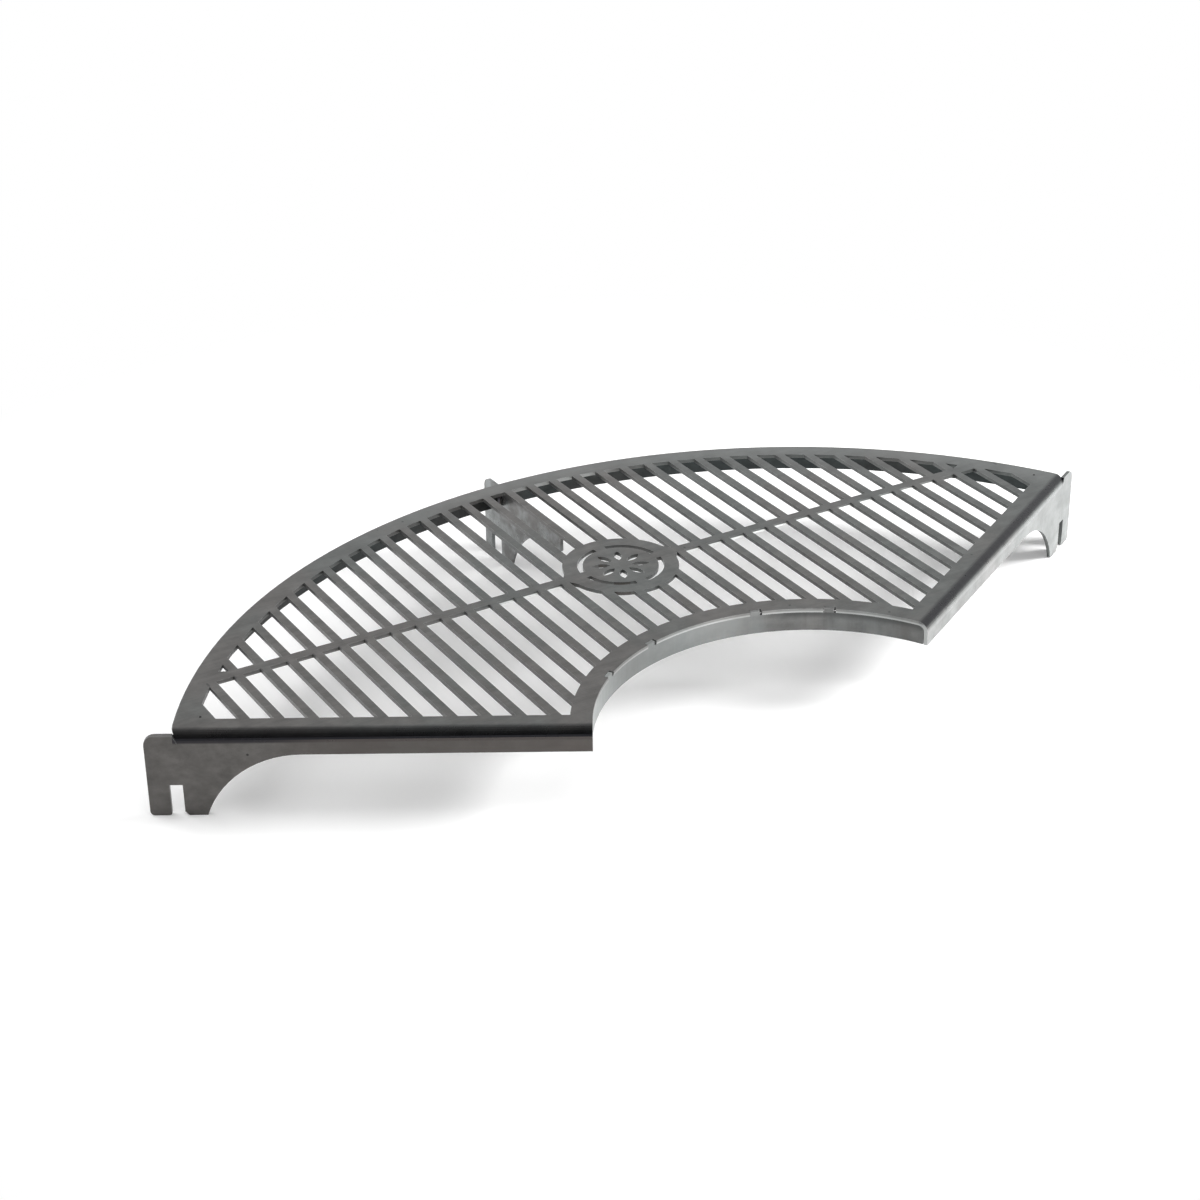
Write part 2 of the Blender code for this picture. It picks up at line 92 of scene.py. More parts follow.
# Features of the skin per metre, and how strongly its wear shows.
PATCHES = 11.0
STREAKS = 16.0
HANDLING = 38.0
MOTTLE = 85.0
PITS = 900.0
COOLER_PER_METRE = 0.35
SPECK_STRENGTH = 0.75
EDGE_STRENGTH = 0.55
EDGE_POLISH = 0.12
FOLD_POLISH = 0.12

# How a face leans: the least lean along an arm's normal on the arm itself, the most that
# an upright wall leans up, and how far along Y a slot's end wall leans.
ARM_FACE_LEAN = 0.93
UPRIGHT_LEAN = 0.3
END_WALL_LEAN = -0.7

# Where the painted highlight on the cut walls is brightest along X, and how much bare metal the
# dull walls show.
OUTER_SHINE_X = 0.035
SPINE_SHINE_RIGHT_END = 0.30
DULL_SHINE = 0.05


class Steel:
    """A node tree under construction, with short calls for the nodes that steel needs."""

    def __init__(self, name):
        self.material = bpy.data.materials.new(name)
        self.material.use_nodes = True
        self.tree = self.material.node_tree
        self.shader = self.tree.nodes["Principled BSDF"]
        self.place = self.tree.nodes.new("ShaderNodeTexCoord").outputs["Object"]
        self.normal = self.tree.nodes.new("ShaderNodeNewGeometry").outputs["Normal"]
        self.axes = self.split(self.place)

    def join(self, value, socket):
        """Link an output to a socket, or write a plain number, vector or colour into it."""
        if isinstance(value, bpy.types.NodeSocket):
            self.tree.links.new(value, socket)
        elif socket.type == "RGBA":
            socket.default_value = (*value, 1.0)
        else:
            socket.default_value = value

    def split(self, vector):
        """The x, y and z of a vector."""
        node = self.tree.nodes.new("ShaderNodeSeparateXYZ")
        self.join(vector, node.inputs[0])
        return tuple(node.outputs)

    def calc(self, operation, first, second=0.0, clamp=False):
        """One Math node, held between 0 and 1 where clamp is set."""
        node = self.tree.nodes.new("ShaderNodeMath")
        node.operation = operation
        node.use_clamp = clamp
        self.join(first, node.inputs[0])
        self.join(second, node.inputs[1])
        return node.outputs[0]

    def plus(self, first, second):
        return self.calc("ADD", first, second)

    def minus(self, first, second):
        return self.calc("SUBTRACT", first, second)

    def times(self, first, *others):
        """Product of all the values."""
        for other in others:
            first = self.calc("MULTIPLY", first, other)
        return first

    def largest(self, first, *others):
        """Largest of all the values."""
        for other in others:
            first = self.calc("MAXIMUM", first, other)
        return first

    def size_of(self, value):
        """A value without its sign."""
        return self.calc("ABSOLUTE", value)

    def over(self, value, limit):
        """1 where a value is above a limit, and 0 elsewhere."""
        return self.calc("GREATER_THAN", value, limit)

    def under(self, value, limit):
        """1 where a value is below a limit, and 0 elsewhere."""
        return self.calc("LESS_THAN", value, limit)

    def ramp(self, value, low, high, to_low=0.0, to_high=1.0):
        """Smooth step: to_low where the value is up to low, and to_high from high on."""
        node = self.tree.nodes.new("ShaderNodeMapRange")
        node.interpolation_type = "SMOOTHSTEP"
        self.join(value, node.inputs["Value"])
        for name, number in (("From Min", low), ("From Max", high),
                             ("To Min", to_low), ("To Max", to_high)):
            node.inputs[name].default_value = number
        return node.outputs["Result"]

    def noise(self, scale, detail=3.0, roughness=0.55, stretch=(1.0, 1.0, 1.0)):
        """Noise with about scale features per metre, finer along an axis stretched above 1."""
        mapping = self.tree.nodes.new("ShaderNodeMapping")
        self.join(stretch, mapping.inputs["Scale"])
        self.join(self.place, mapping.inputs["Vector"])
        node = self.tree.nodes.new("ShaderNodeTexNoise")
        self.join(scale, node.inputs["Scale"])
        self.join(detail, node.inputs["Detail"])
        self.join(roughness, node.inputs["Roughness"])
        self.join(mapping.outputs["Vector"], node.inputs["Vector"])
        return node.outputs["Fac"]

    def specks(self, cell, size, share):
        """Small round specks: one per cell of the given width, kept in a share of the cells."""
        node = self.tree.nodes.new("ShaderNodeTexVoronoi")
        self.join(1.0 / cell, node.inputs["Scale"])
        self.join(self.place, node.inputs["Vector"])
        dot = self.ramp(node.outputs["Distance"], size / cell * 0.5, size / cell, 1.0, 0.0)
        pick = self.tree.nodes.new("ShaderNodeSeparateColor")
        self.join(node.outputs["Color"], pick.inputs[0])
        return self.times(dot, self.under(pick.outputs[0], share))

    def blend(self, factor, first, second, mode="MIX"):
        """Colour mix: the first where the factor is 0, and mixed with the second at 1."""
        node = self.tree.nodes.new("ShaderNodeMix")
        node.data_type = "RGBA"
        node.blend_type = mode
        self.join(factor, node.inputs[0])
        self.join(first, node.inputs[6])
        self.join(second, node.inputs[7])
        return node.outputs[2]

    def edges(self, radius):
        """1 along sharp edges and 0 on flat faces, from how far a rounded normal leans."""
        bevel = self.tree.nodes.new("ShaderNodeBevel")
        bevel.samples = 4
        self.join(radius, bevel.inputs["Radius"])
        lean = self.tree.nodes.new("ShaderNodeVectorMath")
        lean.operation = "DOT_PRODUCT"
        self.join(bevel.outputs["Normal"], lean.inputs[0])
        self.join(self.normal, lean.inputs[1])
        return self.ramp(lean.outputs["Value"], 0.75, 0.98, 1.0, 0.0)

    def bump(self, height, distance, below=None):
        """Normal of a bumpy surface, laid over another bump where one is given."""
        node = self.tree.nodes.new("ShaderNodeBump")
        self.join(1.0, node.inputs["Strength"])
        self.join(distance, node.inputs["Distance"])
        self.join(height, node.inputs["Height"])
        if below:
            self.join(below, node.inputs["Normal"])
        return node.outputs["Normal"]


def rolled_steel(name, cool, warm, roughness, grain, marks_and_light=None):
    """Hot-rolled steel: cool and warm patches, fine mottle, streaks, specks and bare edges.

    The patches turn cooler towards the right. The streaks are as much finer along each
    axis as grain says. The marks function, where given, changes the colour and the
    roughness, painted light and shade among them, before the specks and the edges are laid over
    them.
    """
    steel = Steel(name)
    cooler = steel.times(steel.axes[0], COOLER_PER_METRE)
    patches = steel.ramp(steel.minus(steel.noise(PATCHES, detail=4.0), cooler), 0.36, 0.64)
    mottle = steel.noise(MOTTLE, detail=6.0, roughness=0.62)
    streaks = steel.noise(STREAKS, detail=5.0, roughness=0.6, stretch=grain)
    colour = steel.blend(patches, cool, warm)
    colour = steel.blend(1.0, colour, steel.ramp(mottle, 0.25, 0.75, 0.84, 1.16), "MULTIPLY")
    colour = steel.blend(1.0, colour, steel.ramp(streaks, 0.25, 0.75, 0.88, 1.12), "MULTIPLY")
    handled = steel.noise(HANDLING, detail=5.0, roughness=0.65)
    rough = steel.times(steel.ramp(handled, 0.3, 0.7, 0.82, 1.12), roughness)
    if marks_and_light:
        colour, rough = marks_and_light(steel, colour, rough)
    specks = steel.calc("ADD", steel.specks(cell=0.024, size=0.0013, share=0.5),
                        steel.specks(cell=0.012, size=0.0005, share=0.2), clamp=True)
    colour = steel.blend(steel.times(specks, SPECK_STRENGTH), colour, SCALE_SPECK)
    bare = steel.times(steel.edges(EDGE_WIDTH), steel.ramp(mottle, 0.3, 0.6, 0.35, 1.0))
    colour = steel.blend(steel.times(bare, EDGE_STRENGTH), colour, BARE_EDGE)
    rough = steel.minus(rough, steel.times(bare, EDGE_POLISH))
    pits = steel.bump(steel.noise(PITS, detail=2.0), PIT_DEPTH)
    waves = steel.bump(steel.plus(mottle, streaks), WAVE_DEPTH, below=pits)
    steel.join(colour, steel.shader.inputs["Base Color"])
    steel.join(rough, steel.shader.inputs["Roughness"])
    steel.join(waves, steel.shader.inputs["Normal"])
    steel.join(0.85, steel.shader.inputs["Metallic"])
    steel.join(0.35, steel.shader.inputs["Sheen Weight"])
    steel.join(0.35, steel.shader.inputs["Sheen Roughness"])
    return steel.material


class TopLines:
    """Where a point of the top is, measured from the grill's own lines.

    Along and out are distances from the ring's centre along the nearer arm and square to
    it, ring is the distance from that centre, and depth runs down from the top face. The
    leans are parts of the face's normal, and arm_face is 1 on the flat faces of an arm.
    """

    def __init__(self, steel):
        sine, cosine = math.sin(ARM_HALF_ANGLE), math.cos(ARM_HALF_ANGLE)
        self.x, self.y, self.z = steel.axes
        self.across = steel.size_of(self.x)
        outward = steel.minus(self.y, RING_CENTRE_Y)
        self.out = steel.minus(steel.times(self.across, cosine), steel.times(outward, sine))
        self.along = steel.plus(steel.times(self.across, sine), steel.times(outward, cosine))
        self.ring = steel.calc("SQRT", steel.plus(steel.times(self.x, self.x),
                                                  steel.times(outward, outward)))
        self.depth = steel.minus(TOP_HEIGHT, self.z)
        self.right = steel.over(self.x, 0.0)
        self.left = steel.minus(1.0, self.right)
        lean_x, self.lean_y, self.lean_z = steel.split(steel.normal)
        lean_across = steel.times(lean_x, steel.calc("SIGN", self.x))
        self.arm_face = steel.size_of(steel.minus(steel.times(lean_across, cosine),
                                                  steel.times(self.lean_y, sine)))


def fold_share(steel, at):
    """1 in the two folds, from the start of the bend down to the flat of the arm."""
    past_start = steel.ramp(at.out, FOLD_START - 0.0015, FOLD_START + 0.003)
    over_arm = steel.ramp(at.depth, 0.95 * FOLD_RADIUS, 1.2 * FOLD_RADIUS, 1.0, 0.0)
    return steel.times(past_start, over_arm, steel.under(at.along, RELIEF_ALONG))


def fold_shade(steel, at):
    """How much painted shade blackens a fold: the left one more towards its foot, the right one
    at its top.
    """
    left_shade = steel.ramp(at.depth, 0.0015, 0.0055, 0.55, 0.97)
    right_shade = steel.ramp(at.depth, 0.0024, 0.0046, 0.88, 0.05)
    return steel.plus(steel.times(at.right, right_shade), steel.times(at.left, left_shade))


def cut_bare_and_highlight(steel, at):
    """How bright the laser-cut walls are: a little bare metal on all, and a painted highlight on
    some.

    The inner rim's walls shine in their lower part, and more on the left. At the outer
    rim, the slots' end walls shine near the middle. At the spine, the near slots' end
    walls shine in their lower half, except at the far left and the far right.
    """
    inner_rim = steel.times(steel.under(at.ring, INNER_WALLS_WITHIN),
                            steel.ramp(at.depth, 0.4 * SHEET, 0.75 * SHEET, 0.12, 0.37),
                            steel.ramp(at.x, 0.010, 0.035, 1.0, 0.66))
    from_brightest = steel.size_of(steel.minus(at.x, OUTER_SHINE_X))
    outer_rim = steel.times(steel.over(at.ring, OUTER_WALLS_BEYOND),
                            steel.ramp(from_brightest, 0.02, 0.07, 0.36, 0.03),
                            steel.under(at.lean_y, END_WALL_LEAN))
    from_spine_wall = steel.size_of(steel.minus(at.y, SPINE_NEAR_EDGE))
    spine = steel.times(steel.over(at.across, DISC_RADIUS),
                        steel.under(from_spine_wall, SPINE_WALL_BAND),
                        steel.ramp(at.depth, 0.35 * SHEET, 0.65 * SHEET, 0.05, 1.0),
                        steel.ramp(at.x, -0.125, -0.10, 0.08, 0.95),
                        steel.under(at.x, SPINE_SHINE_RIGHT_END))
    in_top = steel.over(at.z, TOP_HEIGHT - 1.03 * SHEET)
    off_arm_face = steel.under(at.arm_face, ARM_FACE_LEAN)
    upright = steel.under(steel.size_of(at.lean_z), UPRIGHT_LEAN)
    return steel.times(steel.largest(in_top, off_arm_face), upright,
                       steel.largest(inner_rim, outer_rim, spine, DULL_SHINE))


def corner_ovals(steel, at):
    """Small dark ovals at the near slots' right corners, beside the spine."""
    turns = steel.calc("DIVIDE", steel.minus(at.x, SLOT_HALF_WIDTH), SLOT_PITCH)
    from_corner = steel.minus(turns, steel.calc("ROUND", turns))
    beside = steel.times(from_corner, SLOT_PITCH / OVAL_WIDTH)
    from_spine = steel.minus(at.y, SPINE_NEAR_EDGE - OVAL_FROM_SPINE)
    before = steel.calc("DIVIDE", from_spine, OVAL_LENGTH)
    away = steel.plus(steel.times(beside, beside), steel.times(before, before))
    return steel.times(steel.ramp(away, 0.3, 1.4, 0.6, 0.0),
                       steel.over(at.z, TOP_HEIGHT - 0.9 * SHEET),
                       steel.over(at.across, DISC_RADIUS))


def top_marks_and_painted_light(steel, colour, rough):
    """Painted shade in the folds and on the browner left arm, bare metal and painted highlights
    on cut walls, a painted highlight on the outer rim, and dark corner ovals.
    """
    at = TopLines(steel)
    fold = fold_share(steel, at)
    # Painted shade: the folds are darkened towards black.
    colour = steel.blend(steel.times(fold, fold_shade(steel, at)), colour, FOLD_PAINTED_SHADE)
    # Bare metal and painted highlights on the cut walls.
    colour = steel.blend(cut_bare_and_highlight(steel, at), colour, CUT_BARE_AND_HIGHLIGHT)
    # Painted shade: the left arm is darker than the right one, and browner.
    left_arm_shade = steel.times(steel.ramp(at.arm_face, 0.97, 0.99),
                           steel.ramp(at.along, 0.33, 0.40, 0.75, 0.12), at.left)
    colour = steel.blend(left_arm_shade, colour, ARM_SHADED_BROWN)
    # Painted highlight on the top of the outer rim, fading out towards its left end.
    rim_highlight = steel.times(steel.ramp(at.ring, 0.425, 0.452, 0.0, 0.5),
                           steel.ramp(at.x, -0.25, -0.05),
                           steel.minus(1.0, fold),
                           steel.over(at.lean_z, 0.5))
    colour = steel.blend(rim_highlight, colour, RIM_HIGHLIGHT)
    # Dark ovals at the near slots' right corners.
    colour = steel.blend(corner_ovals(steel, at), colour, OVAL_BLACK)
    return colour, steel.minus(rough, steel.times(fold, FOLD_POLISH))


def dress(node, material):
    """Give a CAD node one material."""
    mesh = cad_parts[node].data
    mesh.materials.clear()
    mesh.materials.append(material)


dress("grill_top", rolled_steel("top_sheet_mill_scale", TOP_COOL, TOP_WARM, TOP_ROUGHNESS,
                                TOP_GRAIN, top_marks_and_painted_light))


# Inner strip: 15 mm flat bar rolled on edge to the inner rim, its four tabs up in the rim.
# The rolls have rubbed its skin, which leaves upright smudges across the face.
# Its left part is lightened with a painted reflection, and painted shade darkens it under the
# rim's right.
INNER_STRIP_COOL = (0.098, 0.105, 0.104)
INNER_STRIP_WARM = (0.105, 0.101, 0.098)
INNER_STRIP_ROUGHNESS = 0.40
STRIP_GRAIN = (2.0, 2.0, 9.0)
SMUDGE_GREY = (0.18, 0.19, 0.19)
LEFT_REFLECTION_GREY = (0.36, 0.385, 0.38)
UNDER_RIM_SHADE = (0.03, 0.032, 0.032)
SMUDGES = 24.0
SMUDGE_STRETCH = (3.0, 3.0, 0.15)
SMUDGE_ROUGHER = 0.1
SHADE_FADES = 0.0065
SHADE_FULL = 0.0012
TAB_START = 0.0002


def smudges_and_painted_light(steel, colour, rough):
    """Upright smudges from the rolls, a painted reflection that lightens the left part, and
    painted shade under the rim's right.

    The painted shade lies close under the sheet, and not on the tabs that stand up in it.
    """
    x, _, z = steel.axes
    smears = steel.noise(SMUDGES, detail=4.0, roughness=0.6, stretch=SMUDGE_STRETCH)
    smudge = steel.ramp(smears, 0.42, 0.7, 0.0, 0.3)
    colour = steel.blend(smudge, colour, SMUDGE_GREY)
    # Painted reflection: the strip grows lighter towards the left.
    left_reflection = steel.plus(steel.ramp(x, 0.015, 0.075, 0.34, 0.0),
                        steel.ramp(x, -0.13, -0.06, 0.52, 0.0))
    colour = steel.blend(left_reflection, colour, LEFT_REFLECTION_GREY)
    sheet_underside = TOP_HEIGHT - SHEET
    # Painted shade close under the sheet, on the right part only.
    under_rim_shade = steel.times(
        steel.ramp(z, sheet_underside - SHADE_FADES, sheet_underside - SHADE_FULL, 0.0, 0.6),
        steel.under(z, sheet_underside - TAB_START),
        steel.ramp(x, 0.03, 0.08))
    colour = steel.blend(under_rim_shade, colour, UNDER_RIM_SHADE)
    return colour, steel.plus(rough, steel.times(smudge, SMUDGE_ROUGHER))


dress("inner_band", rolled_steel("inner_strip_rolled", INNER_STRIP_COOL, INNER_STRIP_WARM,
                                 INNER_STRIP_ROUGHNESS, STRIP_GRAIN, smudges_and_painted_light))


# Outer strip: the same flat bar rolled to the outer rim, notched where the bracket crosses.
# It stands in the rim's shade, and its colours are darkened with painted shade, the darkest of
# all.
OUTER_STRIP_SHADED_COOL = (0.052, 0.060, 0.060)
OUTER_STRIP_SHADED_WARM = (0.054, 0.055, 0.054)
OUTER_STRIP_ROUGHNESS = 0.46

dress("outer_band", rolled_steel("outer_strip_rolled", OUTER_STRIP_SHADED_COOL, OUTER_STRIP_SHADED_WARM,
                                 OUTER_STRIP_ROUGHNESS, STRIP_GRAIN))


# Middle bracket: 3 mm plate on edge under one bar, half-lapped with the outer strip.
# The cutting table has scuffed its faces, so they are mottled and glossier.
BRACKET_COOL = (0.115, 0.123, 0.122)
BRACKET_WARM = (0.122, 0.118, 0.114)
BRACKET_ROUGHNESS = 0.36
BRACKET_GRAIN = (9.0, 0.4, 9.0)
SCUFF_GREY = (0.25, 0.265, 0.265)
SCUFFS = 55.0
SCUFF_POLISH = 0.1


def scuffs(steel, colour, rough):
    """Bright scuffed patches with soft borders."""
    patch = steel.ramp(steel.noise(SCUFFS, detail=5.0, roughness=0.6), 0.38, 0.66, 0.0, 0.8)
    colour = steel.blend(patch, colour, SCUFF_GREY)
    return colour, steel.minus(rough, steel.times(patch, SCUFF_POLISH))


dress("centre_bracket", rolled_steel("bracket_scuffed_plate", BRACKET_COOL, BRACKET_WARM,
                                     BRACKET_ROUGHNESS, BRACKET_GRAIN, scuffs))


# Weld beads: short runs laid by hand beneath, in the corners between the plates.
# Each is a row of overlapping ripples, tinted straw and blue by its own heat.
BEAD_COOL = (0.10, 0.105, 0.11)
BEAD_WARM = (0.12, 0.11, 0.10)
BEAD_ROUGHNESS = 0.38
BEAD_GRAIN = (1.0, 1.0, 1.0)
BLUE_TINT = (0.085, 0.095, 0.13)
STRAW_TINT = (0.15, 0.115, 0.085)
BEAD_RADIUS = 0.0019
SLIM_BEAD_RADIUS = 0.0010
BEAD_DEPTH = 0.0049
BEAD_HALF_LENGTH = 0.013
INNER_BEAD_RING = 0.1669
INNER_BEAD_DEGREES = (-50.0, -26.5, 0.0, 26.5, 50.0)
OUTER_BEAD_RING = 0.4501
OUTER_BEAD_DEGREES = (-50.0, -34.0, -17.0, 8.0, 24.0, 37.0, 50.0)
RIPPLE_PITCH = 0.0014
RIPPLE_DEPTH = 0.13
RIPPLE_BOW = 0.35
END_TAPER = 1.6
BEAD_ROUND = 20
BEAD_STEPS_PER_RIPPLE = 6
ARC_POINTS = 25
STRAIGHT_POINTS = 13
TINTS = 150.0
TINT_STRENGTH = 0.6


def heat_tint(steel, colour, rough):
    """Straw and blue tints in soft bands, as steel shows after welding."""
    bands = steel.ramp(steel.noise(TINTS, detail=3.0), 0.4, 0.6)
    tint = steel.blend(bands, BLUE_TINT, STRAW_TINT)
    return steel.blend(TINT_STRENGTH, colour, tint), rough


weld_metal = rolled_steel("weld_bead_heat_tinted", BEAD_COOL, BEAD_WARM, BEAD_ROUGHNESS,
                          BEAD_GRAIN, heat_tint)


def bead_rings(route, radius):
    """Rings of points round a route, which make a rippled tube.

    Along the run t and round it a, the radius is the nominal one times the square root
    of the distance to the nearer end, held at 1 away from the ends, and less the square
    of a sawtooth of t that the cosine of a shifts, which bows each ripple to a crescent.
    """
    lengths = np.linalg.norm(np.diff(route, axis=0), axis=1)
    passed = np.concatenate([[0.0], np.cumsum(lengths)])
    total = passed[-1]
    count = int(total / RIPPLE_PITCH * BEAD_STEPS_PER_RIPPLE)
    distance = np.linspace(0.0, total, count + 1)[1:-1]
    centre = np.stack([np.interp(distance, passed, route[:, axis]) for axis in range(3)], axis=1)
    tangent = np.gradient(centre, axis=0)
    tangent /= np.linalg.norm(tangent, axis=1)[:, None]
    helper = np.array([0.0, 0.0, 1.0]) if abs(tangent[0, 2]) < 0.9 else np.array([1.0, 0.0, 0.0])
    across = np.cross(tangent, helper)
    across /= np.linalg.norm(across, axis=1)[:, None]
    upward = np.cross(across, tangent)
    angle = np.arange(BEAD_ROUND) * 2.0 * math.pi / BEAD_ROUND
    near_end = np.minimum(distance, total - distance)[:, None]
    taper = np.sqrt(np.clip(near_end / (END_TAPER * radius), 0.0, 1.0))
    phase = distance[:, None] / RIPPLE_PITCH + RIPPLE_BOW * np.cos(angle)[None, :]
    swell = 1.0 - RIPPLE_DEPTH * (phase - np.floor(phase)) ** 2
    reach = radius * taper * swell
    return centre[:, None, :] + reach[:, :, None] * (
        np.cos(angle)[None, :, None] * across[:, None, :]
        + np.sin(angle)[None, :, None] * upward[:, None, :])


def bead_faces(rows):
    """Quads between rows of points, and a fan of triangles from each end to its tip.

    The first tip comes after the last point of the rows, and the second tip after it.
    """
    row, column = np.meshgrid(np.arange(rows - 1), np.arange(BEAD_ROUND), indexing="ij")
    beside = (column + 1) % BEAD_ROUND
    quads = np.stack([row * BEAD_ROUND + column, row * BEAD_ROUND + beside,
                      (row + 1) * BEAD_ROUND + beside, (row + 1) * BEAD_ROUND + column], axis=-1)
    spoke = np.arange(BEAD_ROUND)
    turn = (spoke + 1) % BEAD_ROUND
    last = (rows - 1) * BEAD_ROUND
    first_tip = np.full(BEAD_ROUND, rows * BEAD_ROUND)
    first_fan = np.stack([first_tip, turn, spoke], axis=1)
    last_fan = np.stack([first_tip + 1, last + spoke, last + turn], axis=1)
    return quads.reshape(-1, 4).tolist() + first_fan.tolist() + last_fan.tolist()


def lay_bead(node, route, radius):
    """Make one closed bead along a route and let it stand for its CAD node."""
    rings = bead_rings(route, radius)
    points = np.concatenate([rings.reshape(-1, 3), route[:1], route[-1:]])
    mesh = bpy.data.meshes.new(node + "_rippled")
    mesh.from_pydata(points.tolist(), [], bead_faces(len(rings)))
    mesh.polygons.foreach_set("use_smooth", [True] * len(mesh.polygons))
    mesh.materials.append(weld_metal)
    bead = bpy.data.objects.new(node + "_rippled", mesh)
    bpy.context.scene.collection.objects.link(bead)
    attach(bead, "root")
    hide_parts(node)


def rim_route(ring, degrees):
    """Arc of a bead just under the sheet along a strip, centred at an angle from +Y."""
    half = BEAD_HALF_LENGTH / ring
    angles = math.radians(degrees) + np.linspace(-half, half, ARC_POINTS)
    return np.stack([ring * np.sin(angles), ring * np.cos(angles) + RING_CENTRE_Y,
                     np.full(ARC_POINTS, TOP_HEIGHT - BEAD_DEPTH)], axis=1)


def straight_route(node):
    """Line through a straight bead's CAD box, along its longest side."""
    low, high = (np.array(corner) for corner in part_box(node))
    sides = high - low
    half = np.where(sides == sides.max(), sides / 2, 0.0)
    return (low + high) / 2 + np.linspace(-1.0, 1.0, STRAIGHT_POINTS)[:, None] * half


for index, degrees in enumerate(INNER_BEAD_DEGREES):
    lay_bead(f"inner_weld_{index + 1}", rim_route(INNER_BEAD_RING, degrees), BEAD_RADIUS)
for index, degrees in enumerate(OUTER_BEAD_DEGREES):
    lay_bead(f"outer_weld_{index + 1}", rim_route(OUTER_BEAD_RING, degrees), BEAD_RADIUS)
for name, radius in (("left", BEAD_RADIUS), ("right", BEAD_RADIUS),
                     ("front", SLIM_BEAD_RADIUS), ("middle", SLIM_BEAD_RADIUS)):
    lay_bead("bracket_weld_" + name, straight_route("bracket_weld_" + name), radius)


# Floor: the studio's white paper, one large plane at the height of the feet.
# It looks white to the camera and in the steel and keeps the grill's soft shadow, and it
# turns plain white away from the grill.
FLOOR_SIZE = 24.0
FLOOR_LIGHT = (0.8, 0.8, 0.8, 1.0)
FLOOR_SEEN = (1.05, 1.05, 1.05, 1.0)
SHADOW_REACH = 0.48
PLAIN_WHITE_FROM = 0.75


def seen_ray(tree):
    """1 for rays from the camera, a gloss or clear glass, and 0 for scattered light."""
    path = tree.nodes.new("ShaderNodeLightPath").outputs
    seen = path["Is Camera Ray"]
    for kind in ("Is Glossy Ray", "Is Transmission Ray"):
        either = tree.nodes.new("ShaderNodeMath")
        either.operation = "MAXIMUM"
        tree.links.new(seen, either.inputs[0])
        tree.links.new(path[kind], either.inputs[1])
        seen = either.outputs[0]
    return seen


def mix_shaders(tree, factor, first, second):
    """The first shader where the factor is 0, and the second where it is 1."""
    mixer = tree.nodes.new("ShaderNodeMixShader")
    tree.links.new(factor, mixer.inputs[0])
    tree.links.new(first, mixer.inputs[1])
    tree.links.new(second, mixer.inputs[2])
    return mixer.outputs[0]


def diffuse(tree, colour):
    """Plain matt shader of one colour."""
    shader = tree.nodes.new("ShaderNodeBsdfDiffuse")
    shader.inputs["Color"].default_value = colour
    return shader.outputs[0]


def away_from_grill(tree):
    """0 within the shadow's reach of the grill's middle, and 1 where the floor is plain."""
    distance = tree.nodes.new("ShaderNodeVectorMath")
    distance.operation = "LENGTH"
    tree.links.new(tree.nodes.new("ShaderNodeTexCoord").outputs["Object"], distance.inputs[0])
    away = tree.nodes.new("ShaderNodeMapRange")
    away.interpolation_type = "SMOOTHSTEP"
    away.inputs["From Min"].default_value = SHADOW_REACH
    away.inputs["From Max"].default_value = PLAIN_WHITE_FROM
    tree.links.new(distance.outputs["Value"], away.inputs["Value"])
    return away.outputs["Result"]


def lay_paper(tree):
    """Pale paper for scattered light, white where it is seen, and plain white far away."""
    tree.nodes.clear()
    near = mix_shaders(tree, seen_ray(tree), diffuse(tree, FLOOR_LIGHT),
                       diffuse(tree, FLOOR_SEEN))
    seen_far = tree.nodes.new("ShaderNodeMath")
    seen_far.operation = "MULTIPLY"
    tree.links.new(away_from_grill(tree), seen_far.inputs[0])
    tree.links.new(seen_ray(tree), seen_far.inputs[1])
    white = tree.nodes.new("ShaderNodeEmission").outputs[0]
    whole = mix_shaders(tree, seen_far.outputs[0], near, white)
    tree.links.new(whole, tree.nodes.new("ShaderNodeOutputMaterial").inputs["Surface"])


bpy.ops.mesh.primitive_plane_add(size=FLOOR_SIZE)
floor = bpy.context.object
floor.name = "studio_floor"
paper = bpy.data.materials.new("floor_paper")
paper.use_nodes = True
lay_paper(paper.node_tree)
floor.data.materials.append(paper)


# Studio: pale walls that look white, and three soft boxes that don't show in the gloss.
# Two cards that only the steel mirrors stand for a dark ceiling over the camera and a
# bright sweep beside the right arm.
WHITE = (1.0, 1.0, 1.0, 1.0)
WALL_LIGHT = 0.45
WALL_SEEN = 1.0
GRILL_MIDDLE = (0.0, 0.0, 0.0)
RIGHT_END = (0.35, -0.1, 0.0)
CEILING_SIZE = (4.4, 5.2, 1.0)
CEILING_PLACE = (-0.605, -0.92, 1.905)
CEILING_FADE = {"From Min": -0.1, "From Max": 0.5, "To Min": 0.02, "To Max": 0.6}
SWEEP_SIZE = (1.6, 1.0, 1.0)
SWEEP_SIDE = (0.265, -0.132)
SWEEP_HEIGHT = 0.0005
SWEEP_GLOW = 3.3


def wall(tree, strength):
    """White surroundings of one strength."""
    background = tree.nodes.new("ShaderNodeBackground")
    background.inputs["Color"].default_value = WHITE
    background.inputs["Strength"].default_value = strength
    return background.outputs[0]


def face(thing, place, aim):
    """Put a thing somewhere and turn its -Z side towards a point."""
    thing.location = place
    thing.rotation_euler = (Vector(place) - Vector(aim)).to_track_quat("Z", "Y").to_euler()


def soft_box(name, place, aim, width, height, power):
    """Rectangular soft box that faces a point and doesn't show in the gloss."""
    lamp = bpy.data.lights.new(name, "AREA")
    lamp.shape = "RECTANGLE"
    lamp.size, lamp.size_y = width, height
    lamp.energy = power
    box = bpy.data.objects.new(name, lamp)
    box.visible_glossy = False
    bpy.context.scene.collection.objects.link(box)
    face(box, place, aim)


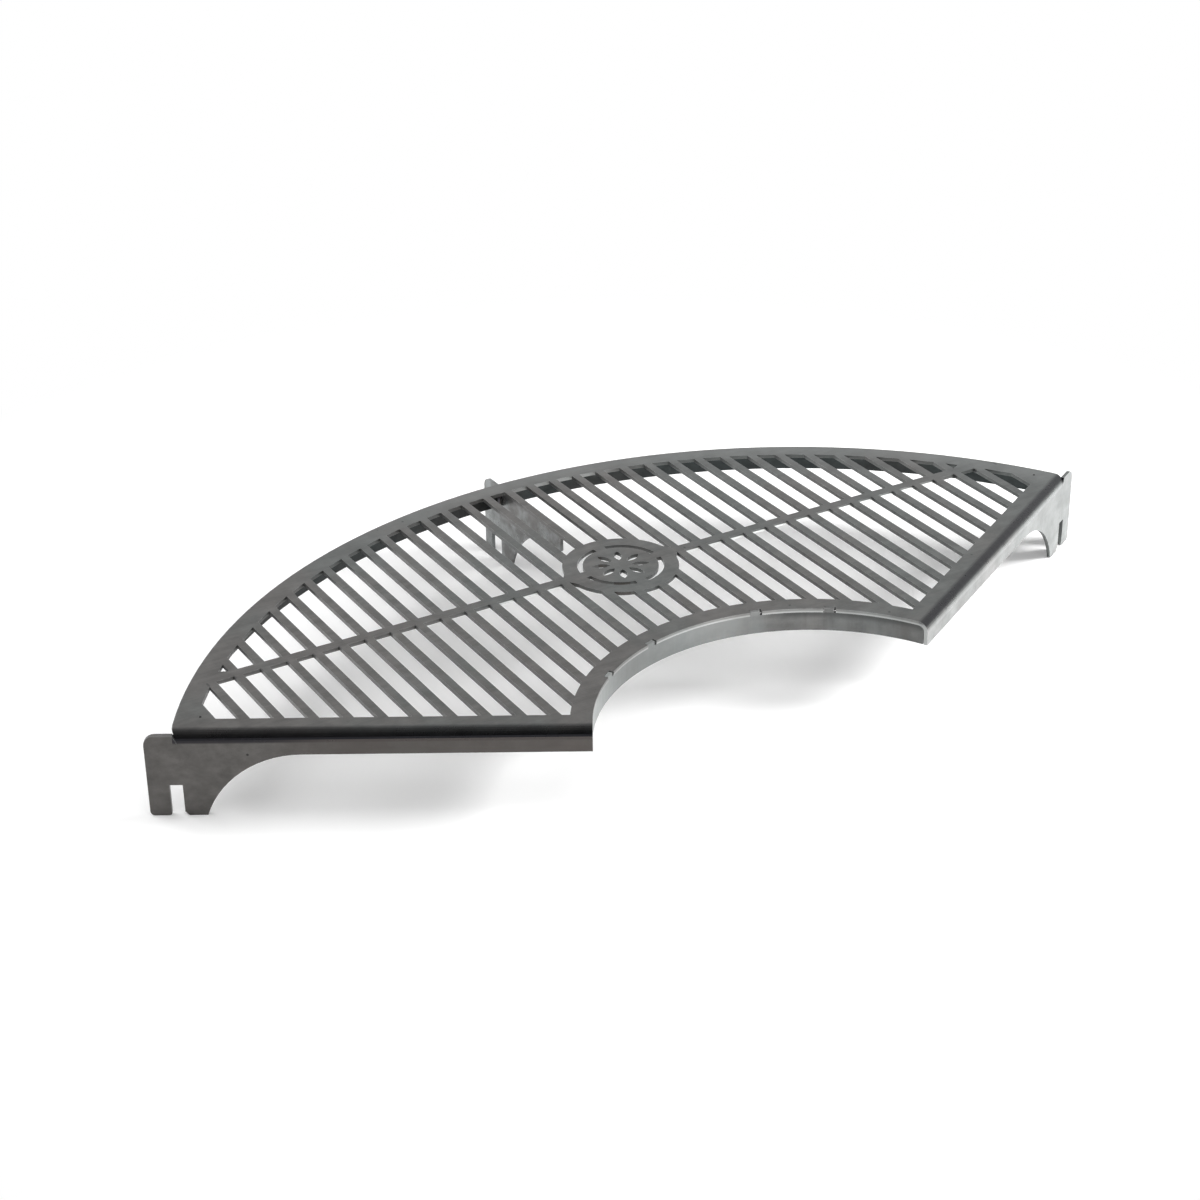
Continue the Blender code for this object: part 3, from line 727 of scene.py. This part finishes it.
def mirrored_card(name, size, finish):
    """Glowing card that only the steel mirrors, and its glow's node."""
    bpy.ops.mesh.primitive_plane_add(size=1.0)
    card = bpy.context.object
    card.name = name
    card.scale = size
    for kind in ("camera", "diffuse", "transmission", "shadow", "volume_scatter"):
        setattr(card, "visible_" + kind, False)
    glowing = bpy.data.materials.new(finish)
    glowing.use_nodes = True
    tree = glowing.node_tree
    tree.nodes.clear()
    glow = tree.nodes.new("ShaderNodeEmission")
    tree.links.new(glow.outputs[0], tree.nodes.new("ShaderNodeOutputMaterial").inputs["Surface"])
    card.data.materials.append(glowing)
    return card, glow


def fade_upwards(glow):
    """Let a card's glow grow along its own Y."""
    tree = glow.id_data
    own_place = tree.nodes.new("ShaderNodeSeparateXYZ")
    tree.links.new(tree.nodes.new("ShaderNodeTexCoord").outputs["Object"], own_place.inputs[0])
    fade = tree.nodes.new("ShaderNodeMapRange")
    for limit, number in CEILING_FADE.items():
        fade.inputs[limit].default_value = number
    tree.links.new(own_place.outputs["Y"], fade.inputs["Value"])
    tree.links.new(fade.outputs["Result"], glow.inputs["Strength"])


world = bpy.data.worlds.new("studio")
bpy.context.scene.world = world
world.use_nodes = True
air = world.node_tree
air.nodes.clear()
surroundings = mix_shaders(air, seen_ray(air), wall(air, WALL_LIGHT), wall(air, WALL_SEEN))
air.links.new(surroundings, air.nodes.new("ShaderNodeOutputWorld").inputs["Surface"])

soft_box("left_back_box", (-1.1, 0.9, 1.6), GRILL_MIDDLE, width=1.4, height=1.0, power=16.0)
soft_box("overhead_box", (-0.45, -0.65, 2.2), GRILL_MIDDLE, width=2.0, height=1.6, power=14.0)
soft_box("right_box", (1.7, -0.8, 1.0), RIGHT_END, width=0.7, height=0.6, power=46.0)

ceiling, ceiling_glow = mirrored_card("dark_card", CEILING_SIZE, "ceiling_felt")
face(ceiling, CEILING_PLACE, GRILL_MIDDLE)
fade_upwards(ceiling_glow)

sweep, sweep_glow = mirrored_card("bright_sweep", SWEEP_SIZE, "bright_sweep_light")
half_width = SWEEP_SIZE[1] / 2
sweep.rotation_euler = (0.0, 0.0, math.radians(90.0) - ARM_HALF_ANGLE)
sweep.location = (SWEEP_SIDE[0] + half_width * math.cos(ARM_HALF_ANGLE),
                  SWEEP_SIDE[1] - half_width * math.sin(ARM_HALF_ANGLE), SWEEP_HEIGHT)
sweep_glow.inputs["Strength"].default_value = SWEEP_GLOW


# Camera: its lens, place and turn are fitted to the photograph's slots and arcs.
# The picture is square, and the lens needs no shift.
SENSOR_WIDTH = 36.0
FOCAL_LENGTH = 76.829
CAMERA_PLACE = (-0.91004, -1.53283, 0.98128)
CAMERA_TURN_DEGREES = (62.0734, 0.6765, -30.5212)

camera_data = bpy.data.cameras.new("camera")
camera_data.sensor_width = SENSOR_WIDTH
camera_data.lens = FOCAL_LENGTH
camera = bpy.data.objects.new("camera", camera_data)
bpy.context.scene.collection.objects.link(camera)
camera.location = CAMERA_PLACE
camera.rotation_euler = tuple(math.radians(turn) for turn in CAMERA_TURN_DEGREES)
bpy.context.scene.camera = camera
bpy.context.scene.view_settings.view_transform = "Standard"
